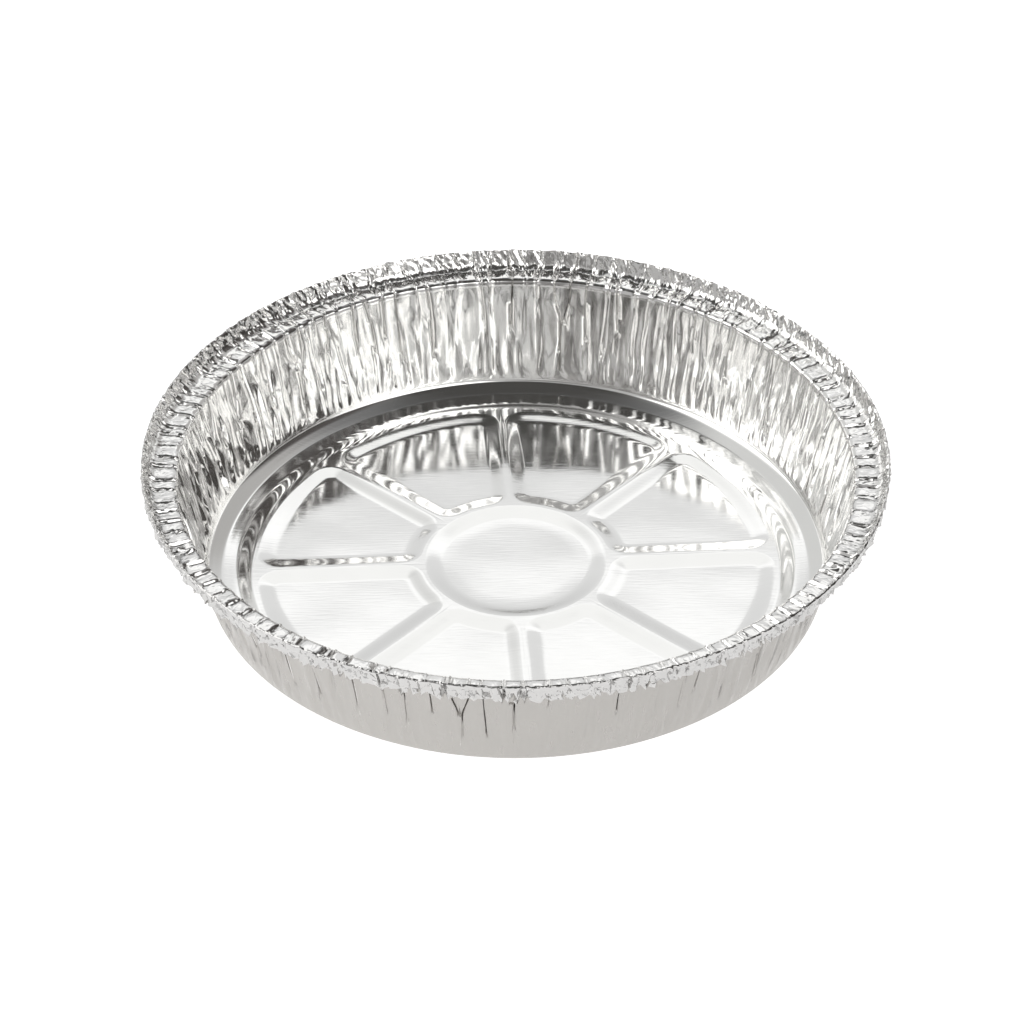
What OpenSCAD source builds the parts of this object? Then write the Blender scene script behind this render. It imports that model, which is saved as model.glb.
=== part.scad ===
// Round pan pressed from one sheet of foil, in millimetres, standing on its floor panels.
// The sheet is one closed skin: an upper side, an underside a foil's thickness away, and a hemmed edge.
// The floor is smooth and crisply pressed. The wall and the rim are gathered into folds, because
// the flat sheet has more length round its edge than the finished pan has.

/* [Size] */
// Inside diameter at the mouth, where the wall meets the flange
mouth_d = 213.8; // [206:0.2:230]
// Inside diameter at the foot of the wall
foot_d = 198.8; // [190:0.2:204]
// Depth from the top of the flange down to the floor
depth = 39.9; // [20:0.1:60]
// Thickness of the foil
foil_t = 0.08; // [0.06:0.01:0.2]

/* [Rim] */
// Width of the flange round the mouth
flange_w = 7.6; // [5:0.1:12]
// Height of the lip above the flange
lip_h = 5.7; // [3:0.1:9]
// How far the top of the lip leans out past the flange
lip_lean = 3; // [0.5:0.1:5]
// Thickness of the lip, where the foil's edge is folded back down outside it
hem_t = 0.35; // [0.25:0.05:0.6]
// How far the hem's raw edge hangs below the flange
hem_drop = 1.2; // [0.4:0.1:1.8]
// Height of the pleats across the flange
pleat_h = 0.5; // [0.1:0.05:0.8]
// Depth of the crimps round the lip
crimp_depth = 0.5; // [0.1:0.05:0.8]
// Unevenness of the lip's top and of the hem's raw edge
ragged = 0.3; // [0:0.05:0.5]

/* [Wall] */
// Depth of the wall's folds
fold_depth = 1.1; // [0.3:0.05:1.4]
// Folds in the wall across each floor panel, an even number
bay_folds = 20; // [8:2:20]
// Height of the smooth band at the foot of the wall
smooth_h = 3.6; // [2:0.1:8]
// Number that picks the pattern of the folds
fold_seed = 12; // [1:1:99]

/* [Foot] */
// Width of the bevel between the floor and the wall
bevel_w = 4.7; // [3:0.1:7]
// Rise of that bevel
bevel_h = 2.3; // [1:0.1:4]
// Width of the groove round the floor
groove_w = 9.4; // [6:0.1:12]
// Height of the groove's outer bank
bank_h = 0.6; // [0.3:0.1:1.5]

/* [Floor] */
// Number of ribs, and of panels between them
rib_count = 8; // [5:1:8]
// Turn of the ribs from straight right, in degrees
rib_turn = 3.5; // [0:0.5:22]
// Height of the ribs and rings above the panels
rib_h = 0.9; // [0.3:0.1:2]
// Width of the flat top of each rib
rib_w = 2.1; // [1:0.1:4]
// Width of the slope from a rib's top down to a panel
slope_w = 4.7; // [2:0.1:5.5]
// Radius of the corners of each panel's floor
panel_r = 2.2; // [1:0.1:4]
// Diameter of the flat disc at the centre
disc_d = 48.2; // [36:0.2:56]

/* [Hidden] */

// Radii and heights of the sheet's upper side, from the centre out
disc_r = disc_d / 2;
ring_in_r = disc_r + slope_w;
foot_r = foot_d / 2;
bank_r = foot_r - bevel_w;
groove_r = bank_r - groove_w / 2;
ring_out_r = bank_r - groove_w;
mouth_r = mouth_d / 2;
flange_r = mouth_r + flange_w;
lip_r = flange_r + lip_lean;
floor_z = foil_t;
rib_z = floor_z + rib_h;
bank_z = floor_z + bank_h;
foot_z = bank_z + bevel_h;
flange_z = floor_z + depth;
lip_z = flange_z + lip_h;

// Counts of points: a bay runs from one rib to the next
bay = 360 / rib_count;
disc_segs = 4;
ring_segs = bay_folds / 2;
corner_segs = 3;
split = 4;
disc_cols = rib_count * disc_segs;
ring_cols = rib_count * ring_segs;
wall_cols = ring_cols * split;
loop_len = 4 * corner_segs + 2 + ring_segs + disc_segs;

// Heights up the wall at which the folds are drawn, as shares of the wall
wall_h = flange_z - foot_z;
wall_steps = [smooth_h / wall_h, 0.4, 0.72, 1];
mouth_row = len(wall_steps) - 1;
// How strongly the folds and their sideways skew show at each of those heights
fold_share = [0.3, 0.85, 1, 0.45];
skew_share = [0, 0.1, 0.5, 1];
// The share of a column by which a fold leans, and by which a pleat is lopsided
drift = 0.35;
lopside = 0.22;

// Each column's own character: depth, height at which its fold begins, sideways drift and raggedness
fold_size = rands(0.45, 1, wall_cols, fold_seed);
fold_start = rands(-0.3, 0.45, wall_cols, fold_seed + 1);
fold_drift = rands(-1, 1, wall_cols, fold_seed + 2);
fold_nick = rands(-1, 1, wall_cols, fold_seed + 3);
fade_h = 0.3;

// Point at a radius, an angle and a height
function polar(r, a, z) = [r * cos(a), r * sin(a), z];

// Sideways shift that carries the underside a foil's thickness away at a bend of the section
function miter(before, after, t) =
    let (n = [sin(before) + sin(after), -cos(before) - cos(after)])
    t * n / (1 + cos(after - before));

// Slopes of the section, in degrees from level, on the way out
slope_up = atan2(rib_h, slope_w);
groove_down = -atan2(rib_h, groove_w / 2);
groove_up = atan2(bank_h, groove_w / 2);
bevel_up = atan2(bevel_h, bevel_w);
wall_up = atan2(wall_h, mouth_r - foot_r);
lip_up = atan2(lip_h, lip_lean);

// Even columns are ridges that stand into the pan and odd ones are valleys
function side(j) = j % 2 == 0 ? 1 : -1;

// How much of a fold has risen at a share of the wall's height
function rise(j, share) = min(1, max(0, (share - fold_start[j]) / fade_h));

// Direction of a column, leaning with its fold and lopsided where it is a pleat
function heading(j, lean, lop) =
    rib_turn + (j + drift * lean * fold_drift[j] + lopside * lop * side(j)) * 360 / wall_cols;

// Rings of the smooth floor: radius, height and the two slopes that meet there
floor_rings = [
    [ring_out_r, rib_z, 0, groove_down],
    [groove_r, floor_z, groove_down, groove_up],
    [bank_r, bank_z, groove_up, bevel_up],
    [foot_r, foot_z, bevel_up, wall_up]
];

// A smooth ring of points, on the upper side for t = 0 and the underside for the foil's thickness
function smooth_ring(ring, count, t) =
    let (m = miter(ring[2], ring[3], t))
    [for (j = [0 : count - 1]) polar(ring[0] + m[0], rib_turn + j * 360 / count, ring[1] + m[1])];

// A row of folds up the wall; its top row is the edge of the mouth, where the pleats begin
function wall_ring(row, t) =
    let (share = wall_steps[row],
         m = miter(wall_up, row == mouth_row ? 0 : wall_up, t),
         r = foot_r + share * (mouth_r - foot_r) + m[0],
         z = foot_z + share * wall_h + m[1],
         pleat = row == mouth_row ? pleat_h / 4 : 0)
    [for (j = [0 : wall_cols - 1])
        let (size = side(j) * fold_size[j])
        polar(r - size * rise(j, share) * fold_share[row] * fold_depth / 2,
              heading(j, share, skew_share[row]), z + size * pleat)];

// The flange's outer edge, shifted outwards and down for the underside and for the hem
function flange_ring(out, up, uneven) =
    [for (j = [0 : wall_cols - 1])
        let (size = side(j) * fold_size[j], nick = uneven * fold_nick[j])
        polar(flange_r + out - size * crimp_depth / 4, heading(j, 1, 1),
              flange_z + up + nick + size * pleat_h / 2)];

// The top of the lip, shifted outwards and down for the fold of the hem
function lip_ring(out, up) =
    [for (j = [0 : wall_cols - 1])
        let (size = side(j) * fold_size[j])
        polar(lip_r + out - size * crimp_depth / 2, heading(j, 1, 1),
              lip_z + up + ragged * fold_nick[j])];

// Floor of a panel: arcs inside and out, straight sides along the ribs, and rounded corners
panel_in_r = ring_in_r + rib_w + slope_w;
panel_out_r = ring_out_r - rib_w - slope_w;
corner_y = rib_w / 2 + slope_w + panel_r;
in_turn = asin(corner_y / (panel_in_r + panel_r));
out_turn = asin(corner_y / (panel_out_r - panel_r));

// A corner of the panel: its centre's radius and angle, and the arc round it
function corner(r, at, from, sweep, grow, z) =
    [for (i = [0 : corner_segs])
        let (a = from + sweep * i / corner_segs)
        polar(r, at, z) + polar(panel_r + grow, a, 0)];

// The panel's outline, grown by the slope's width for its upper edge, in the bay that starts at az
function panel_loop(az, grow, z) = concat(
    corner(panel_in_r + panel_r, az + in_turn, az + 180 + in_turn, 90 - in_turn, grow, z),
    corner(panel_out_r - panel_r, az + out_turn, az + 270, 90 + out_turn, grow, z),
    [for (i = [1 : ring_segs - 1])
        polar(panel_out_r + grow, az + out_turn + (bay - 2 * out_turn) * i / ring_segs, z)],
    corner(panel_out_r - panel_r, az + bay - out_turn, az + bay - out_turn, 90 + out_turn, grow, z),
    corner(panel_in_r + panel_r, az + bay - in_turn, az + bay + 90, 90 - in_turn, grow, z),
    [for (i = [1 : disc_segs - 1])
        polar(panel_in_r - grow, az + bay - in_turn - (bay - 2 * in_turn) * i / disc_segs, z)]
);

function all_panels(grow, z) =
    [for (k = [0 : rib_count - 1]) each panel_loop(rib_turn + k * bay, grow, z)];

// One side of the sheet as far as the flange's outer edge
function skin_points(t) = concat(
    [[0, 0, floor_z - t]],
    smooth_ring([disc_r, floor_z, 0, slope_up], disc_cols, t),
    smooth_ring([ring_in_r, rib_z, slope_up, 0], disc_cols, t),
    all_panels(slope_w, rib_z - t),
    all_panels(0, floor_z - t),
    [for (k = [0 : rib_count - 1])
        polar((panel_in_r + panel_out_r) / 2, rib_turn + (k + 0.5) * bay, floor_z - t)],
    [for (ring = floor_rings) each smooth_ring(ring, ring_cols, t)],
    [for (row = [0 : mouth_row]) each wall_ring(row, t)],
    let (m = miter(0, lip_up, t)) flange_ring(m[0], m[1], 0)
);

// The lip's top, the hem folded over it, and the hem's raw edge
hem_out = hem_t * sin(lip_up);
hem_down = -hem_t * cos(lip_up);
lip_points = concat(
    lip_ring(0, 0),
    lip_ring(hem_out, hem_down),
    flange_ring(hem_out, hem_down - hem_drop, ragged)
);

// Where each block of points starts
at_disc = 1;
at_ring_in = at_disc + disc_cols;
at_edge = at_ring_in + disc_cols;
at_floor = at_edge + rib_count * loop_len;
at_mid = at_floor + rib_count * loop_len;
at_ring_out = at_mid + rib_count;
at_foot = at_ring_out + (len(floor_rings) - 1) * ring_cols;
at_wall = at_foot + ring_cols;
at_flange = at_wall + (mouth_row + 1) * wall_cols;
skin_len = at_flange + wall_cols;
at_lip = 2 * skin_len;
at_hem = at_lip + wall_cols;
at_raw = at_hem + wall_cols;

// Triangles between two closed rings of as many points, anticlockwise seen from inside the pan
function band(a, b, count) =
    [for (j = [0 : count - 1])
        let (k = (j + 1) % count)
        each [[a + j, b + j, b + k], [a + j, b + k, a + k]]];

// Triangles that fan a centre point out to a closed ring
function fan(centre, ring, count) =
    [for (j = [0 : count - 1]) [centre, ring + j, ring + (j + 1) % count]];

// Triangles from the foot's ring to the finer ring above it
foot_band =
    [for (j = [0 : ring_cols - 1])
        let (a = at_foot + j, b = at_foot + (j + 1) % ring_cols,
             w = [for (i = [0 : split]) at_wall + (split * j + i) % wall_cols])
        each [[a, w[0], w[1]], [a, w[1], w[2]], [a, w[2], b], [b, w[2], w[3]], [b, w[3], w[4]]]];

// The web of ribs and rings round one panel, level across its top
function web(k) =
    let (c = corner_segs,
         out_far = 2 * c + 1 + ring_segs,
         in_far = out_far + c + 1,
         edge = function (i) at_edge + k * loop_len + i % loop_len,
         ins = function (i) at_ring_in + (k * disc_segs + i) % disc_cols,
         outs = function (i) at_ring_out + (k * ring_segs + i) % ring_cols)
    concat(
        [for (i = [0 : c - 1]) [ins(0), edge(i + 1), edge(i)]],
        [[ins(0), outs(0), edge(c + 1)], [ins(0), edge(c + 1), edge(c)]],
        [for (i = [c + 1 : 2 * c]) [outs(0), edge(i + 1), edge(i)]],
        [for (i = [0 : ring_segs - 1])
            let (e = 2 * c + 1 + i)
            each [[edge(e), outs(i), outs(i + 1)], [edge(e), outs(i + 1), edge(e + 1)]]],
        [for (i = [out_far : out_far + c - 1]) [outs(ring_segs), edge(i + 1), edge(i)]],
        [[outs(ring_segs), ins(disc_segs), edge(in_far)],
         [outs(ring_segs), edge(in_far), edge(in_far - 1)]],
        [for (i = [in_far : in_far + c - 1]) [ins(disc_segs), edge(i + 1), edge(i)]],
        [for (i = [0 : disc_segs - 1])
            let (e = in_far + c + disc_segs - i)
            each [[ins(i), edge(e), edge(e - 1)], [ins(i), edge(e - 1), ins(i + 1)]]]
    );

// Every triangle of one side of the sheet
skin_faces = concat(
    fan(0, at_disc, disc_cols),
    band(at_disc, at_ring_in, disc_cols),
    [for (k = [0 : rib_count - 1]) each concat(
        web(k),
        band(at_floor + k * loop_len, at_edge + k * loop_len, loop_len),
        fan(at_mid + k, at_floor + k * loop_len, loop_len))],
    [for (i = [0 : len(floor_rings) - 2])
        each band(at_ring_out + i * ring_cols, at_ring_out + (i + 1) * ring_cols, ring_cols)],
    foot_band,
    [for (i = [0 : mouth_row]) each band(at_wall + i * wall_cols, at_wall + (i + 1) * wall_cols, wall_cols)]
);

// The lip and its hem, from the upper side's flange over to the underside's
rim_faces = concat(
    band(at_flange, at_lip, wall_cols),
    band(at_lip, at_hem, wall_cols),
    band(at_hem, at_raw, wall_cols),
    band(at_raw, at_flange + skin_len, wall_cols)
);

module foil_pan() {
    color("silver")
    polyhedron(
        points = concat(skin_points(0), skin_points(foil_t), lip_points),
        faces = concat(
            [for (f = concat(skin_faces, rim_faces)) [f[0], f[2], f[1]]],
            [for (f = skin_faces) [f[0] + skin_len, f[1] + skin_len, f[2] + skin_len]]
        ),
        convexity = 8
    );
}

foil_pan();
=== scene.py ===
"""Looks of a round pan pressed from one sheet of foil, with a gathered wall, pleated flange and hemmed lip.

The sheet is one closed skin. Its floor is a smooth pressing, so it is built from panel outlines carried along
the section of their slopes. Its wall, flange and lip are gathered, so they are one grid whose columns run
along the creases. Lengths inside the classes are in millimetres, and the finished mesh is in metres.
"""

import logging
import math
from dataclasses import dataclass, field
from enum import Enum, IntEnum

import bpy
import numpy as np
from mathutils import Matrix, Vector
from numpy.typing import NDArray


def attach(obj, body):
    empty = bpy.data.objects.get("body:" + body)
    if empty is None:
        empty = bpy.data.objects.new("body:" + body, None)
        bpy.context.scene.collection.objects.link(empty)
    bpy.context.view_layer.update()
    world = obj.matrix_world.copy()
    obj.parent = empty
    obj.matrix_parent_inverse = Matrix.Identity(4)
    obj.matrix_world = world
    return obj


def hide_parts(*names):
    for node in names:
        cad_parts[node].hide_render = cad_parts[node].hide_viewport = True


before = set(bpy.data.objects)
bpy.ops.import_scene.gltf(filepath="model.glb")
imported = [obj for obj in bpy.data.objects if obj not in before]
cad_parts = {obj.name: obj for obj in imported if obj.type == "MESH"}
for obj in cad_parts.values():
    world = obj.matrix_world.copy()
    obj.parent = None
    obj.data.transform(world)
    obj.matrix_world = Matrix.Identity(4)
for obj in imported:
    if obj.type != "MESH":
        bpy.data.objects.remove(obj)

Floats = NDArray[np.float64]
Ints = NDArray[np.int64]

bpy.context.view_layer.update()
MM = 0.001
IMAGE_PX = 1024
SENSOR_MM = 36.0
FLOW_ATTRIBUTE = "foil_flow"
PLEAT_COLUMNS = 8
log = logging.getLogger("foil_pan")


class Finish(Enum):
    """The finishes of the foil, in the order of the mesh's material slots."""

    FLOOR = 0
    WALL = 1
    RIM = 2
    HEM = 3
    OUTSIDE = 4


class Part(IntEnum):
    """The parts of the gathered rim, in the order of its section from the foot out."""

    WALL = 0
    FLANGE = 1
    LIP = 2
    HEM = 3


def ease(x: Floats) -> Floats:
    """A smooth step from 0 to 1: three x squared less two x cubed, with x held between 0 and 1."""
    x = np.clip(x, 0.0, 1.0)
    return x * x * (3.0 - 2.0 * x)


def bell(x: Floats, middle: float | Floats, reach: float) -> Floats:
    """A smooth bump of height 1 at the middle that falls to 0 at reach on either side."""
    return ease(1.0 - np.abs(x - middle) / reach)


def turns(count: int) -> Floats:
    """Even angles round the pan: the whole numbers below count, each times a full turn over count."""
    return np.arange(count) * 2 * np.pi / count


def wander(rng: np.random.Generator, lines: int, t: Floats, knots: int) -> Floats:
    """Smooth random curves: each line has a random value from -1 to 1 at each knot, eased between knots.

    Args:
        rng: The seeded source of the random values.
        lines: How many curves.
        t: Where each curve is read, from 0 to 1.
        knots: How many random values each curve passes through.

    Returns:
        An array of len(t) rows and one column a line.
    """
    values = rng.uniform(-1.0, 1.0, (knots, lines))
    place = np.clip(t, 0.0, 1.0) * (knots - 1)
    low = np.minimum(place.astype(np.int64), knots - 2)
    share = ease(place - low)[:, None]
    return values[low] * (1.0 - share) + values[low + 1] * share


@dataclass(frozen=True)
class PanSizes:
    """The pan's section in millimetres, with the same values as the part's source."""

    foil: float = 0.08
    disc_r: float = 24.1
    ring_in_r: float = 28.8
    ring_out_r: float = 85.3
    groove_r: float = 90.0
    bank_r: float = 94.7
    foot_r: float = 99.4
    mouth_r: float = 106.9
    flange_r: float = 114.5
    lip_r: float = 117.5
    rib_h: float = 0.9
    bank_h: float = 0.6
    foot_h: float = 2.9
    depth: float = 39.9
    lip_h: float = 5.7
    hem_drop: float = 1.2
    rib_count: int = 8
    rib_turn: float = 3.5
    rib_w: float = 2.1
    slope_w: float = 4.7
    panel_r: float = 2.2

    def wall_lean(self) -> Floats:
        """The wall's unit direction in the section, from the foot to the mouth."""
        lean = np.array([self.mouth_r - self.foot_r, self.depth - self.foot_h])
        return lean / np.linalg.norm(lean)


@dataclass(frozen=True)
class Section:
    """A run of the sheet's section: straight legs joined by rounded bends.

    A bend is the parabola that leaves one leg and meets the next at the same reach from their corner. There
    are corners across and up, a reach for each bend, and the numbers of rows inside each leg and bend.
    """

    corners: tuple[tuple[float, float], ...]
    reach: tuple[float, ...]
    leg_rows: tuple[int, ...]
    bend_rows: tuple[int, ...]

    def rows(self) -> tuple[Floats, Floats]:
        """Samples the run.

        Returns:
            The points, each an across and an up value, and the left-hand unit normals there.
        """
        c = np.array(self.corners, float)
        steps = np.diff(c, axis=0)
        heading = steps / np.linalg.norm(steps, axis=1)[:, None]
        points, tangents = [c[:1]], [heading[:1]]
        start = c[0]
        for i, (reach, rows) in enumerate(zip(self.reach, self.bend_rows)):
            corner = c[i + 1]
            before, after = corner - reach * heading[i], corner + reach * heading[i + 1]
            points.append(self._leg(start, before, self.leg_rows[i]))
            tangents.append(np.repeat(heading[i : i + 1], self.leg_rows[i], axis=0))
            u = np.linspace(0.0, 1.0, rows)[:, None]
            points.append((1 - u) ** 2 * before + 2 * u * (1 - u) * corner + u ** 2 * after)
            tangents.append((1 - u) * heading[i] + u * heading[i + 1])
            start = after
        points += [self._leg(start, c[-1], self.leg_rows[-1]), c[-1:]]
        tangents.append(np.repeat(heading[-1:], self.leg_rows[-1] + 1, axis=0))
        p, d = np.concatenate(points), np.concatenate(tangents)
        d = d / np.linalg.norm(d, axis=1)[:, None]
        return p, np.stack([-d[:, 1], d[:, 0]], axis=1)

    @staticmethod
    def _leg(a: Floats, b: Floats, rows: int) -> Floats:
        """Evenly spaced points strictly between a and b."""
        return a + (np.arange(1, rows + 1) / (rows + 1))[:, None] * (b - a)


class Skin:
    """Points, triangles and finishes of the sheet, gathered block by block."""

    def __init__(self) -> None:
        """Starts with nothing."""
        self.points: list[Floats] = []
        self.flow: list[Floats] = []
        self.faces: list[Ints] = []
        self.finish: list[Ints] = []
        self.count = 0

    def add(self, points: Floats, flow: Floats) -> Ints:
        """Adds a block of points.

        Args:
            points: The points, in any layout whose last axis is x, y and z.
            flow: Their flow coordinates, which the finishes follow, in the same layout.

        Returns:
            The points' indices in the same layout.
        """
        shape = points.shape[:-1]
        n = int(np.prod(shape))
        self.points.append(points.reshape(n, 3))
        self.flow.append(flow.reshape(n, 3))
        ids = np.arange(self.count, self.count + n).reshape(shape)
        self.count += n
        return ids

    def join(self, triangles: Ints, finish: Finish) -> None:
        """Adds triangles with one finish."""
        self.faces.append(triangles.reshape(-1, 3))
        self.finish.append(np.full(len(self.faces[-1]), finish.value))

    def bands(self, rings: Ints, finish: Finish) -> None:
        """Joins each closed ring to the next with two triangles a point, so that the faces look up.

        Args:
            rings: Rings of as many points each, one a row, from the inside out.
            finish: The finish of the new faces.
        """
        a, b = rings[:-1], rings[1:]
        a1, b1 = np.roll(a, -1, axis=1), np.roll(b, -1, axis=1)
        self.join(np.stack([np.stack([a, b, b1], -1), np.stack([a, b1, a1], -1)], 2), finish)

    def stitch(self, a: Ints, b: Ints, finish: Finish) -> None:
        """Joins a ring to an outer one with a whole multiple of its points.

        Each point of the inner ring fans out to half of its share of the outer one on either side, and one
        triangle stands between two such fans.

        Args:
            a: The inner ring.
            b: The outer ring.
            finish: The finish of the new faces.
        """
        n, k = len(a), len(b) // len(a)
        w = b[(np.arange(n)[:, None] * k + np.arange(k + 1)) % len(b)]
        a1, half = np.roll(a, -1), k // 2
        left = np.stack([np.repeat(a[:, None], half, 1), w[:, :half], w[:, 1 : half + 1]], -1)
        right = np.stack([np.repeat(a1[:, None], k - half, 1), w[:, half:k], w[:, half + 1 :]], -1)
        self.join(left, finish)
        self.join(np.stack([a, w[:, half], a1], 1), finish)
        self.join(right, finish)

    def fan(self, centre: int, ring: Ints, finish: Finish) -> None:
        """Joins a centre point to a closed ring round it."""
        self.join(np.stack([np.full(len(ring), centre), ring, np.roll(ring, -1)], 1), finish)

    def arrays(self) -> tuple[Floats, Floats, Ints, Ints]:
        """The points, flow coordinates, triangles and finishes so far, each as one array."""
        return (np.concatenate(self.points), np.concatenate(self.flow),
                np.concatenate(self.faces), np.concatenate(self.finish))


def vertex_normals(points: Floats, faces: Ints) -> Floats:
    """Unit normal at each point: the sum of the area-weighted normals of the triangles that meet there.

    Args:
        points: The points.
        faces: The triangles, as three indices each.

    Returns:
        One unit vector a point, and nothing but zeros where no triangle meets.
    """
    a, b, c = (points[faces[:, i]] for i in range(3))
    across = np.cross(b - a, c - a)
    total = np.zeros_like(points)
    for i in range(3):
        np.add.at(total, faces[:, i], across)
    return total / np.maximum(np.linalg.norm(total, axis=1), 1e-12)[:, None]


@dataclass
class PressedFloor:
    """The smooth pressed floor: centre disc, ribs and rings, wedge panels, groove and bevel.

    The segment counts say how finely a panel's outline is divided: its corners, its straight sides, and its
    arcs along the outer ring and the disc. Each wave is a direction with its two wave numbers, a phase and a
    height. The rings inside a panel are its outline shrunk towards its middle.
    """

    sizes: PanSizes
    corner_segs: int = 5
    side_segs: int = 7
    ring_segs: int = 30
    disc_segs: int = 9
    still_from_r: float = 90.0
    still_w: float = 8.0
    bevel_top: float = 1.0
    level_edge: float = 0.6
    flat_edge: float = 1.5
    shrink: tuple[float, ...] = (0.18, 0.4, 0.62, 0.82)
    waves: tuple[tuple[float, float, float, float], ...] = (
        (0.135, 0.061, 0.4, 0.024), (-0.083, 0.148, 2.1, 0.021), (0.221, -0.117, 4.0, 0.010),
        (0.035, 0.263, 1.2, 0.009), (-0.31, -0.05, 5.2, 0.007), (0.19, 0.33, 3.3, 0.006))

    def unevenness(self, x: Floats, y: Floats) -> Floats:
        """The sheet's slight waviness: a sum of sines, each with its own direction, phase and height."""
        return sum(height * np.sin(kx * x + ky * y + phase) for kx, ky, phase, height in self.waves)

    def ring(self, r: Floats, z: Floats, count: int) -> Floats:
        """Level rings: a row for each radius and height, with count points round it from the first rib."""
        a = np.radians(self.sizes.rib_turn) + turns(count)
        return self._lay(r[:, None] * np.cos(a), r[:, None] * np.sin(a), np.repeat(z[:, None], count, axis=1))

    def _lay(self, x: Floats, y: Floats, z: Floats) -> Floats:
        """Puts points together, with the sheet's waviness faded out at the bevel."""
        fade = 1.0 - ease((np.hypot(x, y) - self.still_from_r) / self.still_w)
        return np.stack([x, y, z + self.sizes.foil + fade * self.unevenness(x, y)], axis=-1)

    def outline(self, grow: float) -> tuple[Floats, Floats]:
        """One panel's outline about its own bay, grown outwards all round.

        Arcs about the pan's centre run inside and out, straight sides run along the ribs, and each corner is
        an arc of the panel's corner radius plus the growth.

        Args:
            grow: How far the outline stands outside the flat panel's own, in millimetres.

        Returns:
            The x and y of the closed loop, anticlockwise, for the bay that starts at angle 0.
        """
        s = self.sizes
        bay = 2 * np.pi / s.rib_count
        r_in, r_out = s.ring_in_r + s.rib_w + s.slope_w, s.ring_out_r - s.rib_w - s.slope_w
        off = s.rib_w / 2 + s.slope_w + s.panel_r
        a_in, a_out = np.arcsin(off / (r_in + s.panel_r)), np.arcsin(off / (r_out - s.panel_r))

        def corner(r: float, at: float, start: float, sweep: float) -> Floats:
            """The arc round one corner, as complex numbers."""
            a = start + sweep * np.linspace(0.0, 1.0, self.corner_segs + 1)
            return r * np.exp(1j * at) + (s.panel_r + grow) * np.exp(1j * a)

        def side(a: complex, b: complex) -> Floats:
            """Points strictly between two ends of a straight side."""
            return a + (b - a) * np.arange(1, self.side_segs + 1) / (self.side_segs + 1)

        def arc(r: float, start: float, stop: float, segs: int) -> Floats:
            """Points strictly between two ends of an arc about the pan's centre."""
            return r * np.exp(1j * (start + (stop - start) * np.arange(1, segs) / segs))

        ri, ro, half = r_in + s.panel_r, r_out - s.panel_r, np.pi / 2
        a = corner(ri, a_in, np.pi + a_in, half - a_in)
        b = corner(ro, a_out, 3 * half, half + a_out)
        c = corner(ro, bay - a_out, bay - a_out, half + a_out)
        d = corner(ri, bay - a_in, bay + half, half - a_in)
        loop = np.concatenate([
            a, side(a[-1], b[0]), b, arc(r_out + grow, a_out, bay - a_out, self.ring_segs),
            c, side(c[-1], d[0]), d, arc(r_in - grow, bay - a_in, a_in, self.disc_segs)])
        return loop.real, loop.imag

    def slopes(self, grow: Floats, z: Floats) -> Floats:
        """Loops up the sloped sides of every panel, each bay's being the first one's turned about the centre.

        Args:
            grow: How far each loop stands outside the flat panel.
            z: How high each loop lies.

        Returns:
            An array of panels, rows and points, with one row for each growth and height.
        """
        loops = np.array([self.outline(g) for g in grow])
        turn = np.radians(self.sizes.rib_turn) + turns(self.sizes.rib_count)
        w = (loops[:, 0] + 1j * loops[:, 1])[None] * np.exp(1j * turn)[:, None, None]
        return self._lay(w.real, w.imag, np.broadcast_to(z[None, :, None], w.shape).copy())

    def web(self, edge: Ints, ins: Ints, outs: Ints) -> Ints:
        """Triangles of the level web between one panel's upper edge and the rings inside and out.

        The four corner points of the bay fan out to the corners and sides of the edge, and the two arcs are
        joined to their rings point by point.

        Args:
            edge: The panel's upper edge, a closed loop.
            ins: The inner ring's points across the bay, both ribs' included.
            outs: The outer ring's points across the bay, both ribs' included.

        Returns:
            The triangles, as three indices each.
        """
        c, m, n = self.corner_segs, self.side_segs, len(edge)

        def fan(centre: int, first: int, last: int) -> Ints:
            """Triangles from one point to a stretch of the edge."""
            i = np.arange(first, last)
            return np.stack([np.full(len(i), centre), edge[(i + 1) % n], edge[i % n]], 1)

        end_b, mid = 2 * c + 1 + m, c + m // 2
        start_c = end_b + self.ring_segs
        mid_c, end_d = start_c + c + m // 2 + 1, start_c + 2 * c + 1 + m
        e = edge[(end_b + np.arange(self.ring_segs + 1)) % n]
        f = edge[(end_d + self.disc_segs - np.arange(self.disc_segs + 1)) % n]
        return np.concatenate([
            fan(ins[0], 0, mid), [[ins[0], outs[0], edge[mid]]], fan(outs[0], mid, end_b),
            np.stack([e[:-1], outs[:-1], outs[1:]], 1), np.stack([e[:-1], outs[1:], e[1:]], 1),
            fan(outs[-1], start_c, mid_c), [[outs[-1], ins[-1], edge[mid_c % n]]],
            fan(ins[-1], mid_c, end_d),
            np.stack([ins[:-1], f[:-1], f[1:]], 1), np.stack([ins[:-1], f[1:], ins[1:]], 1)])

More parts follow.
